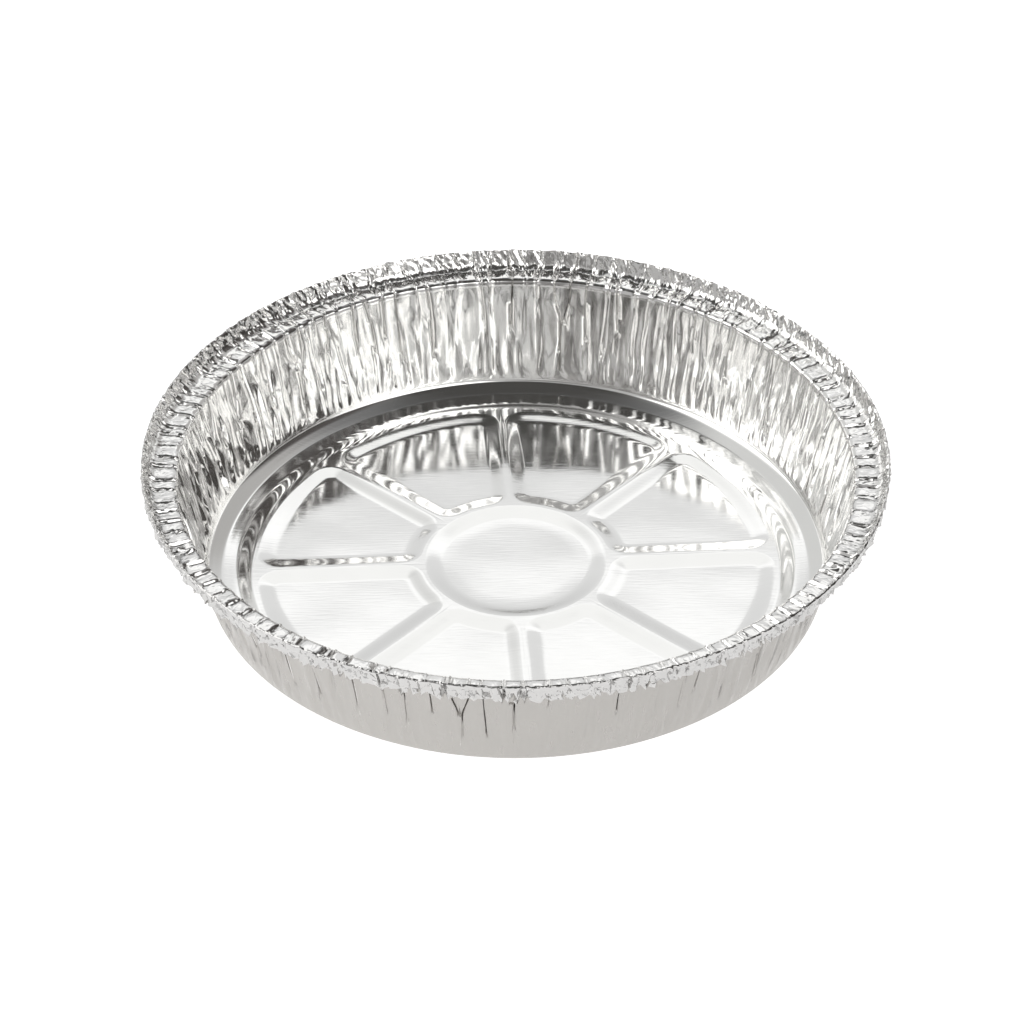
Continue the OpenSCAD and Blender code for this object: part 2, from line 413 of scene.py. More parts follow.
    def sections(self) -> tuple[Floats, Floats, Floats]:
        """The floor's three runs of section, with the pressing's own small bend radii.

        Returns:
            The disc with the step up to its ring, a panel's slope, and the run from the outer ring through
            the groove and up the bevel to a millimetre up the wall.
        """
        s = self.sizes
        lean = s.wall_lean() * self.bevel_top
        disc = Section(((0, 0), (s.disc_r, 0), (s.ring_in_r, s.rib_h),
                        (s.ring_in_r + self.level_edge, s.rib_h)), (0.9, 0.55), (4, 2, 0), (3, 3))
        slope = Section(((-self.flat_edge, 0), (0, 0), (s.slope_w, s.rib_h),
                         (s.slope_w + self.level_edge, s.rib_h)), (0.8, 0.55), (0, 2, 0), (3, 3))
        outer = Section(((s.ring_out_r - self.level_edge, s.rib_h), (s.ring_out_r, s.rib_h),
                         (s.groove_r, 0), (s.bank_r, s.bank_h), (s.foot_r, s.foot_h),
                         (s.foot_r + lean[0], s.foot_h + lean[1])),
                        (0.45, 0.8, 0.5, 0.7), (0, 2, 2, 2, 0), (3, 3, 3, 3))
        return disc.rows()[0], slope.rows()[0], outer.rows()[0]

    def build(self, skin: Skin) -> Ints:
        """Adds the floor: the disc and its step, the outer run, then each panel with the web round it.

        Args:
            skin: The skin that the floor is added to.

        Returns:
            The ring of points a millimetre up the wall.
        """
        s = self.sizes
        disc, slope, outer = self.sections()
        n_in, n_out = s.rib_count * self.disc_segs, s.rib_count * self.ring_segs
        pole = self._add(skin, self._lay(np.zeros(1), np.zeros(1), np.zeros(1)))
        rings = self._add(skin, self.ring(disc[1:, 0], disc[1:, 1], n_in))
        skin.fan(int(pole[0]), rings[0], Finish.FLOOR)
        skin.bands(rings, Finish.FLOOR)
        outs = self._add(skin, self.ring(outer[:, 0], outer[:, 1], n_out))
        skin.bands(outs, Finish.FLOOR)
        for k, loops in enumerate(self.slopes(slope[:, 0], slope[:, 1])):
            edge = self._panel(skin, loops)
            i = (k * self.disc_segs + np.arange(self.disc_segs + 1)) % n_in
            o = (k * self.ring_segs + np.arange(self.ring_segs + 1)) % n_out
            skin.join(self.web(edge, rings[-1][i], outs[0][o]), Finish.FLOOR)
        return outs[-1]

    def _panel(self, skin: Skin, loops: Floats) -> Ints:
        """Adds one panel: its middle point, shrunken copies of its outline, and the loops up its slopes.

        Args:
            skin: The skin that the panel is added to.
            loops: The panel's loops, from the flat part out and up.

        Returns:
            The panel's upper edge.
        """
        middle = loops[0].mean(axis=0, keepdims=True)
        inner = middle + np.array(self.shrink)[:, None, None] * (loops[0] - middle)
        for flat in (inner, middle):
            flat[..., 2] = self.sizes.foil + self.unevenness(flat[..., 0], flat[..., 1])
        ids = self._add(skin, np.concatenate([inner, loops]))
        skin.fan(int(self._add(skin, middle)[0]), ids[0], Finish.FLOOR)
        skin.bands(ids, Finish.FLOOR)
        return ids[-1]

    @staticmethod
    def _add(skin: Skin, points: Floats) -> Ints:
        """Adds points whose flow coordinates are their own places."""
        return skin.add(points, points)


@dataclass
class GatheredRim:
    """The gathered part of the sheet: wall, pleated flange, crumpled lip and the hem folded down outside it.

    It is one grid. Its rows follow the section, and its columns follow the creases. Eight columns make one
    pleat: a shoulder, a valley, the pleat's ridge, a valley, a shoulder, and three across the facet to the
    next pleat. Some pleats are sharp: a deep narrow crease runs down from the mouth to the pleat's own stop.
    Two sharp neighbours make a joint where they run together below it, as a fork.

    Heights and half widths are in millimetres. Jitter, drift, pulls and gaps are shares of a pleat's width,
    stops are shares of the wall's height, and a tuple with a value a part has them in the parts' order. The
    random source and the angles of the points are set anew by each build.
    """

    sizes: PanSizes
    pleats: int = 120
    seed: int = 5
    wall_rows: int = 19
    start_up: float = 1.9
    mouth_roll: float = 1.38
    mouth_tilt: float = math.radians(27)
    hem_gap: float = 0.62
    hem_fall: float = 0.40
    hem_flare: float = 0.67
    tuck: float = 0.58
    bends: tuple[float, ...] = (0.22, 0.22, 1.1, 0.10, 0.14)
    sharp_share: float = 0.30
    sharp_step: float = 0.4142
    joints: int = 15
    joint_pull: float = 0.40
    jitter: float = 0.16
    drift: float = 0.17
    least_gap: float = 0.205
    leaf_at: float = 0.42
    leaf_reach: float = 0.45
    leaf_w: float = 0.62
    parted_w: float = 0.75
    ridge_h: tuple[float, ...] = (0.28, 0.50, 0.42, 0.0)
    valley_share: float = 0.85
    facet_tilt: float = 0.60
    swell: float = 0.115
    wrinkle: float = 0.014
    crease: float = 0.20
    dent: float = 0.20
    crumple_h: tuple[float, ...] = (0.006, 0.02, 0.05, 0.05)
    mean_r: float = 103.0
    mouth_length: float = 44.0
    noise_steps: int = 2048
    top_slack: float = 0.37
    outer_limit_r: float = 117.94
    sharp: NDArray[np.bool_] = field(init=False)
    stop: Floats = field(init=False)
    joint: Ints = field(init=False)
    section: Floats = field(init=False)
    normal: Floats = field(init=False)
    part: Ints = field(init=False)
    length: Floats = field(init=False)
    height: Floats = field(init=False)
    run: Floats = field(init=False)
    hang: Floats = field(init=False)
    rng: np.random.Generator = field(init=False)
    angle: Floats = field(init=False)

    def __post_init__(self) -> None:
        """Lays out the section, then chooses the sharp creases."""
        self._lay_section()
        self._choose_creases()

    def _lay_section(self) -> None:
        """Lays out the section: up the wall, over the flange, up the lip, over its top and down the hem.

        It also works out, for each row, its part, its length along the section, its share of the wall's
        height, its share across the flange's level run, and its share down the hem.
        """
        s = self.sizes
        lean = s.wall_lean()
        start = (s.foot_r + self.start_up * lean[0], s.foot_h + self.start_up * lean[1])
        top_r, top_z = s.lip_r - self.tuck, s.depth + s.lip_h
        out = (top_r + self.hem_gap, top_z - self.hem_fall)
        edge = (s.flange_r + self.hem_flare, s.depth - s.hem_drop)
        rise = self.mouth_roll * math.sin(self.mouth_tilt)
        roll = (s.mouth_r - rise * lean[0] / lean[1], s.depth - rise)
        over = (roll[0] + self.mouth_roll * math.cos(self.mouth_tilt), s.depth)
        legs = (self.wall_rows, 1, 3, 4, 0, 4)
        p, self.normal = Section((start, roll, over, (s.flange_r, s.depth), (top_r, top_z), out, edge),
                                 self.bends, legs, (2,) * len(self.bends)).rows()
        counts = [1 + legs[0] + 2 + legs[1], 2 + legs[2] + 1, 1 + legs[3] + 1]
        part = np.repeat([kind.value for kind in Part], counts + [len(p) - sum(counts)])
        self.section, self.part = p, part
        self.length = np.concatenate([[0.0], np.cumsum(np.linalg.norm(np.diff(p, axis=0), axis=1))])
        height = np.minimum((p[:, 1] - s.foot_h) / (s.depth - s.foot_h), 1.0)
        self.height = np.where(part == Part.WALL, height, 1.0)
        self.run = np.where(part == Part.FLANGE, (p[:, 0] - over[0]) / (s.flange_r - over[0]), 0.0)
        fallen = np.maximum((out[1] - p[:, 1]) / (out[1] - edge[1]), 0.0)
        self.hang = np.where(part == Part.HEM, fallen, 0.0)

    def _choose_creases(self) -> None:
        """Chooses the sharp pleats, the height at which each crease stops, and the joints.

        A pleat is sharp where an even step round the rim, plus a little chance, falls in the sharp share of
        its turn. At a joint, both pleats are sharp, and the second crease stops lower than the first.
        """
        rng = np.random.default_rng(self.seed + 1)
        step = np.arange(self.pleats) * self.sharp_step + rng.uniform(0, 0.3, self.pleats)
        self.sharp = step % 1.0 < self.sharp_share
        self.stop = rng.uniform(0.04, 0.55, self.pleats)
        self.joint = q = np.sort(rng.permutation(self.pleats // 3)[: self.joints]) * 3 + 1
        self.sharp[q] = self.sharp[q + 1] = True
        self.stop[q] = rng.uniform(0.40, 0.62, self.joints)
        self.stop[q + 1] = self.stop[q] - rng.uniform(0.22, 0.42, self.joints)

    @property
    def columns(self) -> int:
        """How many points go round."""
        return self.pleats * PLEAT_COLUMNS

    @property
    def along(self) -> Floats:
        """Each row's share of the whole section's length."""
        return self.length / self.length[-1]

    @property
    def free(self) -> Floats:
        """How freely each row of the hem crumples: a fifth at the lip, all of it from a quarter down."""
        return 0.2 + 0.8 * ease(self.hang / 0.25)

    def first(self, part: Part) -> int:
        """The first row of a part."""
        return int(np.flatnonzero(self.part == part)[0])

    def _onward(self, angle: Floats) -> Floats:
        """The next pleat's angle at each pleat, a full turn on where the next is the first."""
        return np.roll(angle, -1, axis=1) + 2 * np.pi * (np.arange(self.pleats) == self.pleats - 1)

    def _middles(self) -> Floats:
        """Where the middle of each pleat is round the rim.

        It is the pleat's even place, plus a fixed jitter, plus a smooth wander up the wall. A smooth bump
        pulls a quarter of the pleats towards their neighbours for a stretch. The two pleats of a joint share
        one wander, and they run together from the foot up to the first one's stop. Last, pleats that are too
        close are pushed apart four times, each by half of what is missing.

        Returns:
            Angles in radians, rows by pleats.
        """
        rng, n, t, along = self.rng, self.pleats, self.height, self.along
        width = 2 * np.pi / n
        centre = (np.arange(n) + 0.25)[None] * width
        jitter = rng.uniform(-self.jitter, self.jitter, n)[None]
        drift = self.drift * wander(rng, n, along, 4)
        pairs = rng.permutation(n // 2)[: n // 4] * 2
        at, size = rng.uniform(0.1, 0.85, len(pairs)), rng.uniform(0.15, 0.26, len(pairs))
        pull = np.zeros_like(drift)
        pull[:, pairs] = size * bell(along[:, None], at, 0.34)
        pull[:, pairs + 1] = -pull[:, pairs]
        q = self.joint
        parted = ease((t[:, None] - self.stop[q] - 0.10) / 0.30)
        together = self.joint_pull * (1.0 - parted) * ease(t / 0.10)[:, None]
        jitter[:, q + 1], drift[:, q + 1] = jitter[:, q], drift[:, q]
        pull[:, q], pull[:, q + 1] = together, -together
        middle = centre + width * (jitter + drift + pull)
        for _ in range(4):
            short = np.maximum(self.least_gap * width - (self._onward(middle) - middle), 0.0) / 2
            middle += np.roll(short, 1, axis=1) - short
        return middle

    def _half_widths(self) -> tuple[Floats, Floats]:
        """How far each pleat's valleys and shoulders are from its ridge.

        The valleys stand close to the ridge at the mouth and part to a leaf in the wall, a little where the
        pleat is sharp and more where it isn't. A slow wander and, on the flange, a random width come on top.
        Below a sharp crease's stop, its valleys part and leave the wall smooth.

        Returns:
            The valleys' and the shoulders' distances in millimetres, rows by pleats.
        """
        rng, n, t = self.rng, self.pleats, self.height[:, None]
        wide = np.where(self.sharp, 0.03, rng.uniform(0.25, 1.0, n))[None]
        leaf = bell(t, self.leaf_at, self.leaf_reach) * wide
        valley = np.where(self.sharp, 0.14, 0.20) + 0.10 * rng.uniform(0, 1, n)[None] + self.leaf_w * leaf
        valley = valley + 0.08 * np.abs(wander(rng, n, self.along, 12))
        level = self.part[:, None] == Part.FLANGE
        valley = valley + np.where(level, rng.uniform(0.12, 0.50, n)[None], 0.0)
        parted = ease((self.stop[None] + 0.20 - t) / 0.22) * (t > 0.02)
        valley = valley + np.where(self.sharp, self.parted_w * parted, 0.0)
        return valley, valley + 0.16 + 0.10 * leaf

    def _angles(self) -> Floats:
        """Where each point is round the rim.

        The five columns of a pleat stand at its middle and at its half widths either way, and the three of
        its facet share what is left, a quarter each and a little chance. At the foot the columns are even,
        and they turn into this pattern over the lowest sixth of the wall. On the lip and hem they are partly
        even, which keeps their faces from growing thin.

        Returns:
            Angles in radians, rows by columns.
        """
        middle = self._middles()
        valley, shoulder = self._half_widths()
        radians_a_mm = (1.0 / self.section[:, :1])[..., None]
        offsets = np.stack([-shoulder, -valley, 0 * valley, valley, shoulder], axis=-1) * radians_a_mm
        block = middle[..., None] + offsets
        start, stop = block[..., -1], self._onward(block[..., 0])
        shares = np.array([0.25, 0.5, 0.75]) + 0.07 * self.rng.uniform(-1, 1, (self.pleats, 3))
        facet = start[..., None] + shares * (stop - start)[..., None]
        pattern = np.concatenate([block, facet], axis=-1).reshape(len(middle), -1)
        u = np.select([self.part == Part.FLANGE, self.part > Part.FLANGE],
                      [1.0, 0.45 + 0.30 * self.hang], ease(self.height / 0.16))[:, None]
        return turns(self.columns) * (1 - u) + pattern * u + np.radians(self.sizes.rib_turn)

    def _streaks(self, across: float, along: float, turned: float | Floats = 0.0) -> Floats:
        """Random upright streaks, as high as deep, with a root mean square of 1.

        Noise on an even grid is blurred round the rim and up the wall, and the same noise blurred 2.2 times
        as wide is taken away. What is left has streaks some seven times as far apart as the blur is wide.

        Args:
            across: How wide the blur is round the rim, in millimetres.
            along: How long the blur is up the wall, in millimetres.
            turned: How far round each row's streaks are turned, in radians, which slants them.

        Returns:
            The streaks' heights, rows by columns.
        """
        count, rows = self.noise_steps, len(self.length)
        waves = 2 * np.pi * np.arange(count // 2 + 1) / (2 * np.pi * self.mean_r)
        band = np.exp(-0.5 * (waves * across) ** 2) - np.exp(-0.5 * (2.2 * waves * across) ** 2)
        noise = np.fft.rfft(self.rng.normal(size=(rows, count)), axis=1)
        grid = np.fft.irfft(noise * band, n=count, axis=1)
        grid = np.exp(-0.5 * ((self.length[:, None] - self.length[None]) / along) ** 2) @ grid
        grid /= grid.std(axis=1, keepdims=True)
        place = (self.angle + turned) / (2 * np.pi) * count
        low = np.floor(place).astype(np.int64)
        share, row = place - low, np.arange(rows)[:, None]
        return grid[row, low % count] * (1 - share) + grid[row, (low + 1) % count] * share

    def relief(self) -> Floats:
        """How far each point stands off the section's own line, towards the inside of the pan and upwards.

        It is the sum of the pleats, the wall's streaks, the fine slanted creases and the dents.

        Returns:
            Heights in millimetres, rows by columns.
        """
        return self._pleat_heights() + self._wall_streaks() + self._slanted_creases() + self._dents()

    def _pleat_heights(self) -> Floats:
        """How high the pleats' ridges, valleys and facets stand.

        A ridge rises out of the smooth foot at its own height and varies up the wall, and some three in ten
        are turned round. A sharp one is taller, and it fades below its stop. Each valley is as deep as most
        of its ridge's height, and each facet of the flange is a plate tilted from one side to the other.

        Returns:
            Heights in millimetres, rows by columns.
        """
        rng, n, t, part = self.rng, self.pleats, self.height[:, None], self.part[:, None]
        rise = ease((t - rng.uniform(-0.02, 0.20, n)[None]) / 0.22)
        size = rng.uniform(0.35, 1.0, n)[None] * np.where(rng.uniform(0, 1, n) < 0.28, -1, 1)[None]
        vary = np.where(part == Part.WALL, 0.25 + 0.75 * np.abs(wander(rng, n, self.along, 6)), 0.8)
        vary = np.maximum(vary, 0.75 * ease((t - 0.8) / 0.15))
        keen = self.sharp & (part == Part.WALL)
        size = np.where(keen, 0.8 + 0.8 * np.abs(size), size)
        vary = np.where(keen, np.maximum(0.35 * vary, ease((t - self.stop[None]) / 0.16)), vary)
        ridge = np.array(self.ridge_h)[part] * size * vary * rise
        valley = -self.valley_share * np.abs(ridge) * np.sign(size)

        tilt = rng.uniform(-self.facet_tilt, self.facet_tilt, n)[None, :, None] * np.array([-0.5, 0.0, 0.5])
        settled = ease(self.run / 0.35)[:, None, None]
        facet = np.where(part[..., None] == Part.FLANGE, tilt * settled, 0.0)
        after, before = 0.3 * facet[..., 0], np.roll(0.3 * facet[..., 2], 1, axis=1)
        pleat = np.stack([before, valley, ridge, valley, after], axis=-1)
        return np.concatenate([pleat, facet], axis=-1).reshape(len(t), -1)

    def _wall_streaks(self) -> Floats:
        """Broad swells and fine wrinkles on the wall's facets.

        They start just above the foot, are strongest in the lower wall and fade under the mouth. They are
        deeper at the pan's left and a little deeper at its right, as in the photograph.

        Returns:
            Heights in millimetres, rows by columns.
        """
        t = self.height
        body = ease((t - 0.02) / 0.14) * (1.35 - 0.35 * ease((t - 0.2) / 0.3))
        body = body * (1.0 - 0.72 * ease((t - 0.70) / 0.24))
        broad, fine = self._streaks(0.72, 4.0), self._streaks(0.34, 2.6)
        left, right = np.maximum(-np.cos(self.angle), 0.0), np.maximum(np.cos(self.angle), 0.0)
        uneven = 1.0 + 1.5 * left ** 1.5 + 0.4 * right
        depth = self.swell * broad + (1.0 + 1.4 * left) * self.wrinkle * fine
        return (body * (self.part == Part.WALL))[:, None] * uneven * depth

    def _slanted_creases(self) -> Floats:
        """Two sets of fine streaks on the rim that lean opposite ways and cross.

        Returns:
            Heights in millimetres, rows by columns.
        """
        slant = (self.length[:, None] - self.mouth_length) / self.mean_r
        one, other = self._streaks(0.30, 1.8, 0.6 * slant), self._streaks(0.34, 1.8, -0.5 * slant)
        rim = np.select([self.part == Part.FLANGE, self.part == Part.LIP, self.part == Part.HEM],
                        [0.10 * ease(self.run / 0.3), 0.75 * self.crease, 1.2 * self.crease * self.free], 0.0)
        return rim[:, None] * (one + other)

    def _dents(self) -> Floats:
        """Short dents across the hem, and a fifth as deep on the lip."""
        size = np.select([self.part == Part.LIP, self.part == Part.HEM],
                         [0.2 * self.dent, self.dent * self.free], 0.0)
        return self._streaks(0.62, 0.5) * size[:, None]

    def crumple(self) -> Floats:
        """Fine random creasing: strong on the lip and hem, slight elsewhere, with none at the foot.

        Each point's own noise is mixed with its neighbour's, held within limits, and sized by its part.

        Returns:
            Heights in millimetres, rows by columns.
        """
        noise = self.rng.normal(0.0, 1.0, (len(self.part), self.columns))
        noise = 0.6 * noise + 0.4 * np.roll(noise, 1, axis=1)
        grown = np.where(self.part == Part.WALL, ease((self.height - 0.1) / 0.2), 1.0)
        return np.clip(noise, -1.8, 1.8) * (np.array(self.crumple_h)[self.part] * grown)[:, None]

    def build(self, skin: Skin) -> Ints:
        """Adds the points of the whole grid.

        Each point is its section's point moved along the normal there by the relief, and turned to its angle.
        The lip's own pleats are pressed through into the hem, most under the sharp creases. The lip's top and
        the hem's lower edge are ragged lines, and the hem's edge also stands out by chance. Nothing passes
        the top or the radius that the solid keeps to.

        Args:
            skin: The skin that the grid is added to.

        Returns:
            The points' indices, rows by columns.
        """
        s, self.rng = self.sizes, np.random.default_rng(self.seed)
        self.angle = self._angles()
        h = self.relief()
        fine = self.crumple()
        hem = np.flatnonzero(self.part == Part.HEM)
        pressed = np.where(np.repeat(self.sharp, PLEAT_COLUMNS), 1.5, 0.7)[None]
        deep = pressed * (0.3 + 1.1 * ease(self.hang[hem] / 0.3))[:, None]
        h[hem] -= deep * h[self.first(Part.LIP) + 2][None]
        r = self.section[:, :1] + (h + fine) * self.normal[:, :1]
        z = self.section[:, 1:] + (h + fine) * self.normal[:, 1:] + s.foil
        top = self._ragged(0.16, 3) + self._ragged(0.10, 1)
        risen = np.clip((self.section[:, 1] - s.depth) / s.lip_h, 0, 1) * (self.part >= Part.LIP)
        z = z + risen[:, None] * top[None]
        torn = self._ragged(0.26, 4) + self._ragged(0.14, 1)
        down = ((np.arange(len(hem)) / (len(hem) - 1)) ** 2)[:, None]
        z[hem] += down * torn[None]
        r[hem] += down * np.abs(self._ragged(0.35, 3))[None]
        z = np.minimum(z, s.depth + s.lip_h + self.top_slack)
        r = np.minimum(r, self.outer_limit_r)
        x, y = np.cos(self.angle), np.sin(self.angle)
        points = np.stack([r * x, r * y, z], axis=-1)
        up = np.broadcast_to(self.length[:, None], x.shape)
        return skin.add(points, np.stack([self.mean_r * x, self.mean_r * y, up], axis=-1))

    def _ragged(self, size: float, spread: int) -> Floats:
        """A random line round the rim: noise that is averaged with its neighbours a few times, then sized.

        Args:
            size: Some 1.7 times the line's root mean square, in millimetres.
            spread: How many times it is averaged.

        Returns:
            One height a column.
        """
        value = self.rng.uniform(-1.0, 1.0, self.columns)
        for _ in range(spread):
            value = (np.roll(value, 1) + 2 * value + np.roll(value, -1)) / 4
        return value * size / max(value.std() * 1.7, 1e-9)


@dataclass(frozen=True)
class Nodes:
    """A node tree, with one short way to add a node and join it up."""

    tree: bpy.types.NodeTree

    def add(self, kind: str, inputs: dict[str | int, object], **settings: object) -> bpy.types.Node:
        """Adds a node, sets it up, and fills its sockets.

        Args:
            kind: The node's type, without the word that all shader nodes' types start with.
            inputs: What each socket gets: another node's output, which is linked to it, or a plain value.
            settings: The node's own settings. They come first, because some of them change its sockets.

        Returns:
            The node.
        """
        node = self.tree.nodes.new("ShaderNode" + kind)
        for name, value in settings.items():
            setattr(node, name, value)
        for name, value in inputs.items():
            if isinstance(value, bpy.types.NodeSocket):
                self.tree.links.new(value, node.inputs[name])
            else:
                node.inputs[name].default_value = value
        return node


@dataclass(frozen=True)
class FoilFinish:
    """One finish of the foil: its colour, its gloss, and the fine creases and rolling lines in its surface.

    Grain and crease are scales along the flow coordinates, in patterns a millimetre, and depths are in
    millimetres. The stain is the share by which the tone may change from place to place.
    """

    name: str
    colour: tuple[float, float, float]
    rough_low: float
    rough_high: float
    grain: tuple[float, float, float]
    grain_depth: float
    crease: tuple[float, float, float]
    crease_depth: float
    stain: float = 0.06
    tone_scale: tuple[float, float, float] = (0.05, 0.05, 0.05)
    warp: float = 0.35
    fold_w: float = 0.16

    def make(self) -> bpy.types.Material:
        """Builds the material from its nodes.

        Two patterns stretched along the sheet's own flow coordinates give the relief: a noise for the
        rolling grain, and cells for the fine creases. A third, slower noise changes the tone.

        Returns:
            The material.
        """
        mat = bpy.data.materials.new(self.name)
        mat.use_nodes = True
        mat.node_tree.nodes.clear()
        nodes = Nodes(mat.node_tree)
        flow = nodes.add("Attribute", {}, attribute_name=FLOW_ATTRIBUTE).outputs["Vector"]
        colour = nodes.add("Mix", {
            "Factor": self._noise(nodes, flow, self.tone_scale, 3.0), "A": self._shade(1 - self.stain),
            "B": self._shade(1 + 0.4 * self.stain)}, data_type="RGBA")
        grain = self._noise(nodes, flow, self.grain, 5.0)
        gloss = nodes.add("MapRange", {
            "Value": grain, "From Min": 0.3, "From Max": 0.7,
            "To Min": self.rough_low, "To Max": self.rough_high})
        lines = nodes.add("Bump", {"Strength": 1.0, "Distance": self.grain_depth * MM, "Height": grain})
        creases = nodes.add("Bump", {
            "Strength": 1.0, "Distance": self.crease_depth * MM, "Height": self._folds(nodes, flow),
            "Normal": lines.outputs["Normal"]})
        shader = nodes.add("BsdfPrincipled", {
            "Metallic": 1.0, "Base Color": colour.outputs["Result"], "Roughness": gloss.outputs["Result"],
            "Normal": creases.outputs["Normal"]})
        nodes.add("OutputMaterial", {"Surface": shader.outputs["BSDF"]})
        return mat

    def _shade(self, level: float) -> tuple[float, float, float, float]:
        """The finish's colour times a level, held at white."""
        return (*[min(1.0, c * level) for c in self.colour], 1.0)

    @staticmethod
    def _stretched(nodes: Nodes, flow: bpy.types.NodeSocket,
                   scale: tuple[float, float, float]) -> bpy.types.NodeSocket:
        """The flow coordinates, stretched."""
        return nodes.add("Mapping", {"Scale": scale, "Vector": flow}).outputs["Vector"]

    def _noise(self, nodes: Nodes, flow: bpy.types.NodeSocket, scale: tuple[float, float, float],
               detail: float) -> bpy.types.NodeSocket:
        """A noise on the stretched flow coordinates."""
        place = self._stretched(nodes, flow, scale)
        return nodes.add("TexNoise", {"Scale": 1.0, "Detail": detail, "Vector": place}).outputs["Fac"]

    def _folds(self, nodes: Nodes, flow: bpy.types.NodeSocket) -> bpy.types.NodeSocket:
        """The height of the fine creases: 0 on the edges of warped cells and 1 away from them.

        Args:
            nodes: The material's tree.
            flow: The sheet's flow coordinates.

        Returns:
            The height's socket.
        """
        place = self._stretched(nodes, flow, self.crease)
        noise = nodes.add("TexNoise", {"Scale": 0.9, "Detail": 2.0, "Vector": place})
        moved = nodes.add("VectorMath", {0: place, 1: noise.outputs["Color"]}, operation="ADD")
        mixed = nodes.add("Mix", {"Factor": self.warp, "A": place, "B": moved.outputs["Vector"]},
                          data_type="VECTOR")
        cells = nodes.add("TexVoronoi", {"Scale": 1.0, "Vector": mixed.outputs["Result"]},
                          feature="DISTANCE_TO_EDGE")
        return nodes.add("MapRange", {"Value": cells.outputs["Distance"], "From Max": self.fold_w},
                         interpolation_type="SMOOTHSTEP").outputs["Result"]


FINISHES = {
    Finish.FLOOR: FoilFinish("pressed satin foil", (0.90, 0.90, 0.89), 0.06, 0.12, (0.12, 1.5, 0.5), 0.010,
                             (0.10, 0.10, 0.10), 0.0),
    Finish.WALL: FoilFinish("gathered bright foil", (0.91, 0.905, 0.895), 0.06, 0.12, (0.9, 0.9, 0.10), 0.005,
                            (0.22, 0.22, 0.05), 0.025),
    Finish.RIM: FoilFinish("pleated bright foil", (0.92, 0.915, 0.905), 0.08, 0.16, (1.2, 1.2, 0.5), 0.012,
                           (0.5, 0.5, 0.22), 0.035),
    # The hem is the same foil as the rim, with its colour darkened to some six tenths: painted shade that
    # tones down its reflection of the glowing floor. Its crumples and dents are real relief.
    Finish.HEM: FoilFinish("hem foil darkened as painted shade", (0.56, 0.555, 0.55), 0.09, 0.17, (1.2, 1.2, 0.8), 0.03,
                           (0.55, 0.55, 0.4), 0.05),
    # The outside is the same foil too, with its colour darkened to under half: painted shade that tones down
    # its reflection of the glowing floor. Its satin roughness is real.
    Finish.OUTSIDE: FoilFinish("satin outside foil darkened as painted shade", (0.44, 0.427, 0.41), 0.26, 0.36, (0.9, 0.9, 0.10), 0.012,
                               (0.12, 0.12, 0.03), 0.05),
}


@dataclass
class FoilPan:
    """The whole pan: one closed sheet with its five finishes."""

    sizes: PanSizes = field(default_factory=PanSizes)
    fold_angle: float = math.radians(62)

    def build(self) -> bpy.types.Object:
        """Builds the sheet's upper side, lays its underside a foil's thickness away and closes it at the hem.

        The upper side is the floor, the wall and the flange. Each point of the underside is one of these
        moved back along its normal, and held at the ground. The lip and hem join the two at their edges.

        Returns:
            The finished piece.
        """
        skin, rim = Skin(), GatheredRim(self.sizes)
        foot = PressedFloor(self.sizes).build(skin)
        grid = rim.build(skin)
        flange, lip, hem = (rim.first(part) for part in (Part.FLANGE, Part.LIP, Part.HEM))
        skin.stitch(foot, grid[0], Finish.WALL)
        skin.bands(grid[: flange + 1], Finish.WALL)
        skin.bands(grid[flange : lip + 1], Finish.RIM)
        points, flow, faces, finish = skin.arrays()

        used = np.unique(faces)
        under = np.full(len(points), -1)
        under[used] = len(points) + np.arange(len(used))
        below = points[used] - self.sizes.foil * vertex_normals(points, faces)[used]
        below[:, 2] = np.maximum(below[:, 2], 0.0)
        fold = Skin()
        fold.bands(grid[lip : hem + 1], Finish.RIM)
        # The hem's finish is the foil darkened as painted shade.
        fold.bands(grid[hem:], Finish.HEM)
        # This band along the hem's edge and the whole underside take the outside finish, whose darkened
        # colour is painted shade.
        fold.bands(np.stack([grid[-1], under[grid[lip]]]), Finish.OUTSIDE)
        return self._mesh(
            np.concatenate([points, below]) * MM, np.concatenate([flow, flow[used]]),
            np.concatenate([faces, *fold.faces, under[faces][:, ::-1]]),
            np.concatenate([finish, *fold.finish, np.full(len(faces), Finish.OUTSIDE.value)]))

    def _mesh(self, points: Floats, flow: Floats, faces: Ints, finish: Ints) -> bpy.types.Object:
        """Puts the arrays into one mesh object and dresses it.

        Args:
            points: The points, in metres.
            flow: Their flow coordinates.
            faces: The triangles, as three indices each.
            finish: Each triangle's material slot.

        Returns:
            The object, linked to the scene.
        """
        mesh = bpy.data.meshes.new("foil_pan_sheet")
        mesh.vertices.add(len(points))
        mesh.vertices.foreach_set("co", points.astype(np.float32).ravel())
        mesh.loops.add(len(faces) * 3)
        mesh.loops.foreach_set("vertex_index", faces.astype(np.int32).ravel())
        mesh.polygons.add(len(faces))
        mesh.polygons.foreach_set("loop_start", np.arange(0, len(faces) * 3, 3, dtype=np.int32))
        mesh.polygons.foreach_set("material_index", finish.astype(np.int32))
        mesh.update(calc_edges=True)
        attribute = mesh.attributes.new(FLOW_ATTRIBUTE, "FLOAT_VECTOR", "POINT")
        attribute.data.foreach_set("vector", flow.astype(np.float32).ravel())
        mesh.polygons.foreach_set("use_smooth", np.ones(len(faces), bool))
        mesh.set_sharp_from_angle(angle=self.fold_angle)
        mesh.update()
        sheet = bpy.data.objects.new("foil_pan_sheet", mesh)
        bpy.context.scene.collection.objects.link(sheet)
        for kind in Finish:
            mesh.materials.append(FINISHES[kind].make())
        return sheet


